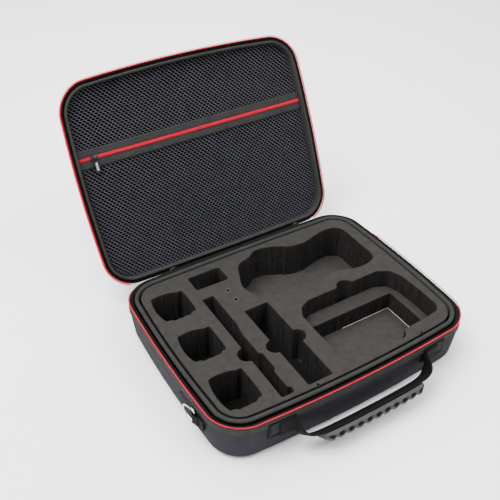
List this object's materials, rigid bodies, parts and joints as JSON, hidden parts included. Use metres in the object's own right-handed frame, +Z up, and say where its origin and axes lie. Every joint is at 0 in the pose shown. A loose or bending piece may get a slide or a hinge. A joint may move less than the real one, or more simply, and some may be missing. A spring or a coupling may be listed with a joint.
{
  "type": "drone carrying case",
  "caption": "Open padded carrying case: foam tray with wells for a folded drone, controller and batteries, zipped mesh pocket in the lid, handle.",
  "frame": {"origin": "centre of the tray's flat underside", "axes": "+Z up, +X along the lid's hinge, +Y from the handle side to the hinge side"},
  "size_m": [0.374, 0.4899, 0.2837],
  "materials": {
    "shell_fabric": "matte woven",
    "zipper_tape": "matte woven tape",
    "red_coil": "satin",
    "rim_binding": "matte ribbed tape",
    "foam": "matte closed-cell foam",
    "pocket_mesh": "knitted mesh",
    "webbing": "matte woven webbing",
    "grip_rubber": "satin moulded",
    "bright_steel": "polished",
    "black_zinc": "satin"
  },
  "bodies": {
    "tray": {"base_shell": "shell_fabric", "base_zipper_tape": "zipper_tape", "base_zipper_coil": "red_coil", "base_rim_binding": "rim_binding", "foam_batteries": "foam", "foam_slot": "foam", "foam_charger": "foam", "foam_accessory": "foam", "foam_drone": "foam", "foam_controller": "foam", "foam_floor_pad": "foam", "controller_shelf": "foam", "hinge_strip": "rim_binding", "handle_patch_left": "shell_fabric", "handle_patch_right": "shell_fabric", "ring_patch_left": "shell_fabric", "ring_patch_right": "shell_fabric", "ring_tab_left": "webbing", "ring_tab_right": "webbing"},
    "lid": {"lid_shell": "shell_fabric", "lid_zipper_tape": "zipper_tape", "lid_zipper_coil": "red_coil", "lid_rim_binding": "rim_binding", "mesh_panel_front": "pocket_mesh", "mesh_panel_rear": "pocket_mesh", "pocket_tape_front": "zipper_tape", "pocket_tape_rear": "zipper_tape", "pocket_zipper_coil": "red_coil", "hinge_strip_lid_flap": "rim_binding"},
    "pocket_slider": {"pocket_slider": "black_zinc"},
    "pocket_pull": {"pocket_pull": "bright_steel"},
    "handle": {"handle_strap": "webbing", "handle_grip": "grip_rubber"},
    "ring_left": {"d_ring_left": "bright_steel"},
    "ring_right": {"d_ring_right": "bright_steel"},
    "main_slider_left": {"main_slider_left": "black_zinc"},
    "main_pull_left": {"main_pull_left": "black_zinc"},
    "main_slider_right": {"main_slider_right": "black_zinc"},
    "main_pull_right": {"main_pull_right": "black_zinc"}
  },
  "joints": [
    {"name": "lid_hinge", "type": "hinge", "parent": "tray", "child": "lid", "pos_m": [0, 0.14, 0.04], "axis": [1, 0, 0], "range_deg": [0, 116]},
    {"name": "pocket_zipper_travel", "type": "slide", "parent": "lid", "child": "pocket_slider", "axis": [1, 0, 0], "range_m": [-0.01, 0.306]},
    {"name": "pocket_pull_flip", "type": "hinge", "parent": "pocket_slider", "child": "pocket_pull", "pos_m": [-0.149, 0.24218, 0.19155], "axis": [-1, 0, 0], "range_deg": [0, 178]},
    {"name": "handle_swing", "type": "hinge", "parent": "tray", "child": "handle", "pos_m": [0, -0.14512, 0.042], "axis": [-1, 0, 0], "range_deg": [0, 90]},
    {"name": "ring_left_swing", "type": "hinge", "parent": "tray", "child": "ring_left", "pos_m": [-0.18257, -0.08, 0.04], "axis": [0, 0, 1], "range_deg": [-3, 112]},
    {"name": "ring_right_swing", "type": "hinge", "parent": "tray", "child": "ring_right", "pos_m": [0.18257, -0.08, 0.04], "axis": [0, 0, -1], "range_deg": [-3, 112]},
    {"name": "main_zipper_left_travel", "type": "slide", "parent": "tray", "child": "main_slider_left", "axis": [-1, 0, 0], "range_m": [0, 0.03]},
    {"name": "main_pull_left_flip", "type": "hinge", "parent": "main_slider_left", "child": "main_pull_left", "pos_m": [-0.098, 0.14067, 0.0568], "axis": [1, 0, 0], "range_deg": [0, 60]},
    {"name": "main_zipper_right_travel", "type": "slide", "parent": "tray", "child": "main_slider_right", "axis": [1, 0, 0], "range_m": [0, 0.03]},
    {"name": "main_pull_right_flip", "type": "hinge", "parent": "main_slider_right", "child": "main_pull_right", "pos_m": [0.098, 0.14067, 0.0568], "axis": [1, 0, 0], "range_deg": [0, 60]}
  ]
}
